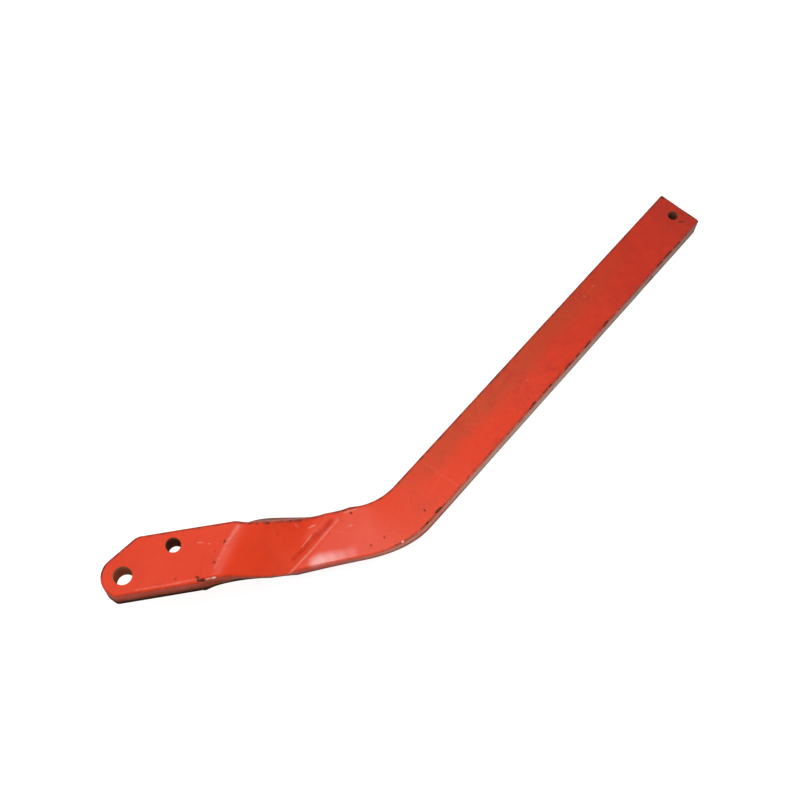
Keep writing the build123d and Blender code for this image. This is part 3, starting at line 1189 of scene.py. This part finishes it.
@dataclass
class ShankBar:
    """The one-piece bar: its skin, bores, marks of use, painted light and paint."""

    form: BarForm
    studio: Studio
    finish: WornEnamel
    marks: tuple[Mark, ...]
    wave_cells: tuple[float, float] = (75.0, 19.0)
    wave_heights: tuple[float, float] = (0.13, 0.035)
    rim_reach: float = 4.5
    line_reach: float = 6.0
    mark_core: float = 1.2
    rim_wear: tuple[float, float, float, float] = (0.45, 0.9, 1.0, 1.0)
    end_wear: float = 0.95
    foot_ends: float = 0.3
    foot_fades: float = 0.08
    # Side share of the cut end, for its dust and painted reflection.
    end_film: float = 0.6
    bore_segments: int = 64
    bore_reach: float = 0.3
    cutter_overshoot: float = 1.0
    sharp_angle: float = 32.0
    keep_inside: float = 0.02

    @staticmethod
    def mesh_of(name: str, places: Array, faces: Array) -> bpy.types.Mesh:
        """Makes a mesh and merges its doubles.

        Args:
            name: the mesh's name.
            places: its vertices in metres.
            faces: its quads.

        Returns:
            The mesh.
        """
        mesh = bpy.data.meshes.new(name)
        mesh.from_pydata(places.tolist(), [], faces.tolist())
        work = bmesh.new()
        work.from_mesh(mesh)
        bmesh.ops.remove_doubles(work, verts=work.verts, dist=DOUBLES_APART)
        bmesh.ops.dissolve_degenerate(work, edges=work.edges, dist=DOUBLES_APART / 10)
        work.to_mesh(mesh)
        work.free()
        return mesh

    @staticmethod
    def wrapped(rows: int, columns: int) -> Array:
        """Quads of a grid whose columns run round and meet.

        Args:
            rows: how many rows the grid has.
            columns: how many columns.

        Returns:
            Four point numbers for each quad.
        """
        index = np.arange(rows * columns).reshape(rows, columns)
        beside = np.roll(index, -1, axis=1)
        return np.stack([index[:-1], index[1:], beside[1:], beside[:-1]], -1).reshape(-1, 4)

    @staticmethod
    def normals(places: Array, faces: Array) -> Array:
        """Outward unit normals at grid points: the mean of the faces that meet there.

        Args:
            places: the grid's points.
            faces: its quads.

        Returns:
            One normal for each point.
        """
        corner = places[faces]
        face = np.cross(corner[:, 2] - corner[:, 0], corner[:, 3] - corner[:, 1])
        total = np.zeros_like(places)
        for k in range(4):
            np.add.at(total, faces[:, k], face)
        return unit(total)

    def fields(self, grid: Array, lines: dict[str, Array]) -> dict[str, Array]:
        """Where each grid point lies on the bar.

        along goes from 0 at the nose to 1 at the cut end. across goes from -1 at the near side to
        1 at the far side. down goes from 0 on the top face to 1 on the bottom face. rim is 1 on a
        corner line and falls to 0 at rim_reach, line does so at line_reach and leaves out the foot's
        near edge, and side is 1 on the two side faces.

        Args:
            grid: rows by columns by 3, in millimetres from the crossing.
            lines: the four corner lines, a point for each row but the end cap's.

        Returns:
            One value for each point, by name.
        """
        sizes, rows = self.form.sizes, grid.shape[0]
        held = {name: np.concatenate([line, line[-1:].repeat(rows - len(line), 0)])
                for name, line in lines.items()}
        run = travelled((held["near_top"] + held["far_top"]) / 2)
        along = np.repeat((run / run[-1])[:, None], grid.shape[1], 1)
        wide = held["far_top"] - held["near_top"]
        reach = np.maximum(np.sum(wide * wide, -1), 1.0)[:, None]
        across = 2 * np.sum((grid - held["near_top"][:, None]) * wide[:, None], -1) / reach - 1
        past_foot = ease((along - self.foot_ends) / self.foot_fades)
        # Strength of the dark corner line, dirt and painted shade of corners seen edge-on: none on the
        # foot's near top edge, less on the near low edge past the foot.
        dark = {"near_top": 0.7 * past_foot, "near_low": 1.0 - 0.75 * past_foot}
        rim, line = np.zeros(grid.shape[:2]), np.zeros(grid.shape[:2])
        for name, wear in zip(("near_top", "far_top", "far_low", "near_low"), self.rim_wear):
            gap = np.linalg.norm(grid - held[name][:, None], axis=-1)
            rim = np.maximum(rim, wear * (1 - np.clip(gap / self.rim_reach, 0, 1)))
            line = np.maximum(line, dark.get(name, 1.0) * (1 - np.clip(gap / self.line_reach, 0, 1)))
        to_end = sizes.shank_length - grid @ heading(sizes.shank_angle)
        beside = np.abs(grid @ heading(sizes.shank_angle + 90))
        to_side = np.minimum(sizes.shank_width / 2 - beside, sizes.half - np.abs(grid[..., 2] - sizes.half))
        end_gap = np.hypot(to_end, np.maximum(to_side, 0))
        rim = np.maximum(rim, self.end_wear * (1 - np.clip(end_gap / self.rim_reach, 0, 1)))
        line = np.maximum(line, 1 - np.clip((end_gap + sizes.rolled_corner) / self.line_reach, 0, 1))
        thick = held["near_top"] - held["near_low"]
        down = 1 - np.sum((grid - held["near_low"][:, None]) * thick[:, None], -1) / sizes.thickness ** 2
        side = np.tile(self.form.side_columns(), (rows, 1))
        side[len(lines["near_top"]):] = self.end_film
        found = {"along": along, "across": np.clip(across, -1.2, 1.2), "rim": rim, "line": line,
                 "side": side, "down": np.clip(down, 0, 1)}
        return {name: values.reshape(-1) for name, values in found.items()}

    @staticmethod
    def picked(seen: Array, facing: Array, target: tuple[float, float]) -> int:
        """The point that faces the camera and stands nearest to a place in the picture."""
        gap = np.linalg.norm(seen - np.array(target), axis=1)
        return int(np.argmin(np.where(facing, gap, np.inf)))

    def worn(self, places: Array, normals: Array) -> tuple[dict[str, Array], Array]:
        """How strongly each kind of mark lies on each point, and how deep the dents are.

        Args:
            places: points in millimetres from the crossing.
            normals: their outward directions.

        Returns:
            Values by attribute name, and depths in millimetres.
        """
        metres = (places - self.form.sizes.shift) * MM
        seen = self.studio.seen_at(metres)
        facing = np.sum(normals * (np.array(self.studio.eye) - metres), -1) > 0
        fields = {kind.value: np.zeros(len(places)) for kind in Wear}
        depth = np.zeros(len(places))
        for mark in self.marks:
            start, end = (places[self.picked(seen, facing, spot)] for spot in (mark.start, mark.end))
            gap = segment_distance(places, start, end) / mark.width
            held = mark.strength * ease(self.mark_core - gap)
            fields[mark.kind.value] = np.maximum(fields[mark.kind.value], held)
            depth += mark.depth * np.exp(-gap * gap)
        return fields, depth

    def cutter(self) -> bpy.types.Object:
        """Makes the three bores as one cutter, each flared at both rims.

        Returns:
            The cutter's object.
        """
        sizes, past = self.form.sizes, self.cutter_overshoot
        angles = np.linspace(0, 360, self.bore_segments, endpoint=False)
        places, faces, count = [], [], 0
        for (x, y, low), radius in sizes.bores:
            high, flare = low + sizes.thickness, radius + sizes.hole_edge_break
            profile = [
                (0.0, low - past), (flare + past, low - past), (radius, low + sizes.hole_edge_break),
                (radius, high - sizes.hole_edge_break), (flare + past, high + past), (0.0, high + past)]
            places += [np.array([x, y, 0.0]) + heading(-angles) * r + UP * z for r, z in profile]
            faces.append(self.wrapped(len(profile), self.bore_segments) + count)
            count += len(profile) * self.bore_segments
        metres = (np.concatenate(places) - sizes.shift) * MM
        mesh = self.mesh_of("bore_cutter", metres, np.concatenate(faces))
        obj = bpy.data.objects.new("bore_cutter", mesh)
        bpy.context.scene.collection.objects.link(obj)
        return obj

    def bored(self, mesh: bpy.types.Mesh) -> bpy.types.Mesh:
        """Cuts the three bores.

        Args:
            mesh: the closed skin, which is deleted.

        Returns:
            A new mesh with the bores.
        """
        blank = bpy.data.objects.new("shank_blank", mesh)
        bpy.context.scene.collection.objects.link(blank)
        cutter = self.cutter()
        cut = blank.modifiers.new("bores", "BOOLEAN")
        cut.operation, cut.solver, cut.object = "DIFFERENCE", "EXACT", cutter
        graph = bpy.context.evaluated_depsgraph_get()
        result = bpy.data.meshes.new_from_object(blank.evaluated_get(graph))
        for spare in (blank, cutter):
            spare_mesh = spare.data
            bpy.data.objects.remove(spare)
            bpy.data.meshes.remove(spare_mesh)
        return result

    def carry(self, mesh: bpy.types.Mesh, places: Array, fields: dict[str, Array]) -> None:
        """Writes fields that are known at grid places to the mesh, each vertex from the nearest place.

        Args:
            mesh: the bored skin.
            places: the grid's places in metres.
            fields: a value for each place, by name.
        """
        tree = KDTree(len(places))
        for index, place in enumerate(places):
            tree.insert(place, index)
        tree.balance()
        coords = np.empty(len(mesh.vertices) * 3)
        mesh.vertices.foreach_get("co", coords)
        coords = coords.reshape(-1, 3)
        nearest = np.array([tree.find(co)[1] for co in coords])
        values = {name: found[nearest] for name, found in fields.items()}
        crossing = coords / MM + self.form.sizes.shift
        gaps = [np.hypot(crossing[:, 0] - x, crossing[:, 1] - y) - radius
                for (x, y, _), radius in self.form.sizes.bores]
        values["bore"] = np.min(gaps, axis=0) < self.bore_reach
        for name, found in values.items():
            layer = mesh.attributes.new(name, "FLOAT", "POINT")
            layer.data.foreach_set("value", found.astype(np.float32))

    def build(self, low: Array, high: Array) -> bpy.types.Object:
        """Makes the bar's object.

        Args:
            low: lowest corner of the frame's solid, in metres.
            high: its highest corner.

        Returns:
            The dressed object.
        """
        grid, lines = self.form.skin()
        places = grid.reshape(-1, 3)
        faces = self.wrapped(*grid.shape[:2])
        normals = self.normals(places, faces)
        fields = self.fields(grid, lines)
        wear, depth = self.worn(places, normals)
        lift = sum(height * lattice_noise(places, cell, seed + 1)
                   for seed, (cell, height) in enumerate(zip(self.wave_cells, self.wave_heights)))
        shaped = places + normals * (lift - depth)[:, None]
        inset = self.keep_inside * MM
        metres = np.clip((shaped - self.form.sizes.shift) * MM, low + inset, high - inset)
        mesh = self.bored(self.mesh_of("shank_skin", metres, faces))
        self.carry(mesh, metres, fields | wear)
        mesh.name = "shank_skin"
        mesh.materials.clear()
        mesh.materials.append(self.finish.material())
        mesh.shade_smooth()
        mesh.set_sharp_from_angle(angle=math.radians(self.sharp_angle))
        obj = bpy.data.objects.new("painted_shank", mesh)
        bpy.context.scene.collection.objects.link(obj)
        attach(obj, "root")
        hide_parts("shank_bar")
        return obj


def plain_box() -> list[list[float]]:
    """The shown object's box as plain lists."""
    return [[float(v) for v in corner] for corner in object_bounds()]


def main() -> None:
    """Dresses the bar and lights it."""
    logging.basicConfig(level=logging.INFO)
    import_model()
    cad_box = plain_box()
    studio = Studio()
    marks = FOOT_MARKS + JOGGLE_MARKS + BEND_MARKS + SHANK_MARKS
    bar = ShankBar(BarForm(), studio, WornEnamel(), marks)
    skin = bar.build(np.array(cad_box[0]), np.array(cad_box[1]))
    LOG.info("bar: %d vertices, %d marks", len(skin.data.vertices), len(marks))
    studio.camera()
    studio.floor()
    studio.lights()
    LOG.info("studio: %d soft lights", len(studio.boxes))


if __name__ == "__main__":
    main()
